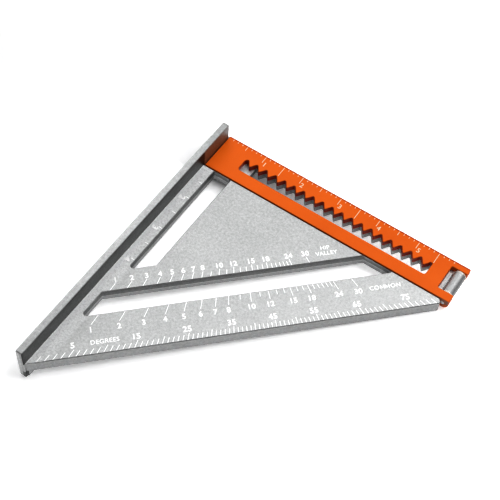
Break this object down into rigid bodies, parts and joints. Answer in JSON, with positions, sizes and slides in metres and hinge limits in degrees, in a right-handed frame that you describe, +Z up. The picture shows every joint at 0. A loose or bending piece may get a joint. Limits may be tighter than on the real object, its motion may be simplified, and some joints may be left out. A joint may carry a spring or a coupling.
{
  "type": "extendable speed square",
  "caption": "Triangular layout square with a T-bar fence, rafter scales, scribing notches and a hinged ruler arm that flips out to double the ruled edge.",
  "frame": {"origin": "the square's pivot corner, where the fence's inner face meets the ruled edge, at the plate's underside", "axes": "+X along the ruled edge from the fence to the hinge; +Y out of the ruled edge, so the fence runs back along -Y; +Z up out of the scaled face"},
  "size_m": [0.1635, 0.1855, 0.0244],
  "materials": {
    "cast_aluminium": "bead-blasted die casting with white-filled scales",
    "arm_paint": "orange satin paint over a die-cast aluminium arm, white-filled ruler marks",
    "pin_steel": "ground steel",
    "washer_nylon": "natural nylon"
  },
  "bodies": {
    "square": {"square_body": "cast_aluminium", "thrust_washer_far": "washer_nylon", "thrust_washer_near": "washer_nylon"},
    "arm": {"extension_arm": "arm_paint", "hinge_pin": "pin_steel"}
  },
  "joints": [
    {"name": "arm_hinge", "type": "hinge", "parent": "square", "child": "arm", "pos_m": [0.1551, -0.01285, 0.0038], "axis": [0, 1, 0], "range_deg": [0, 180]}
  ]
}
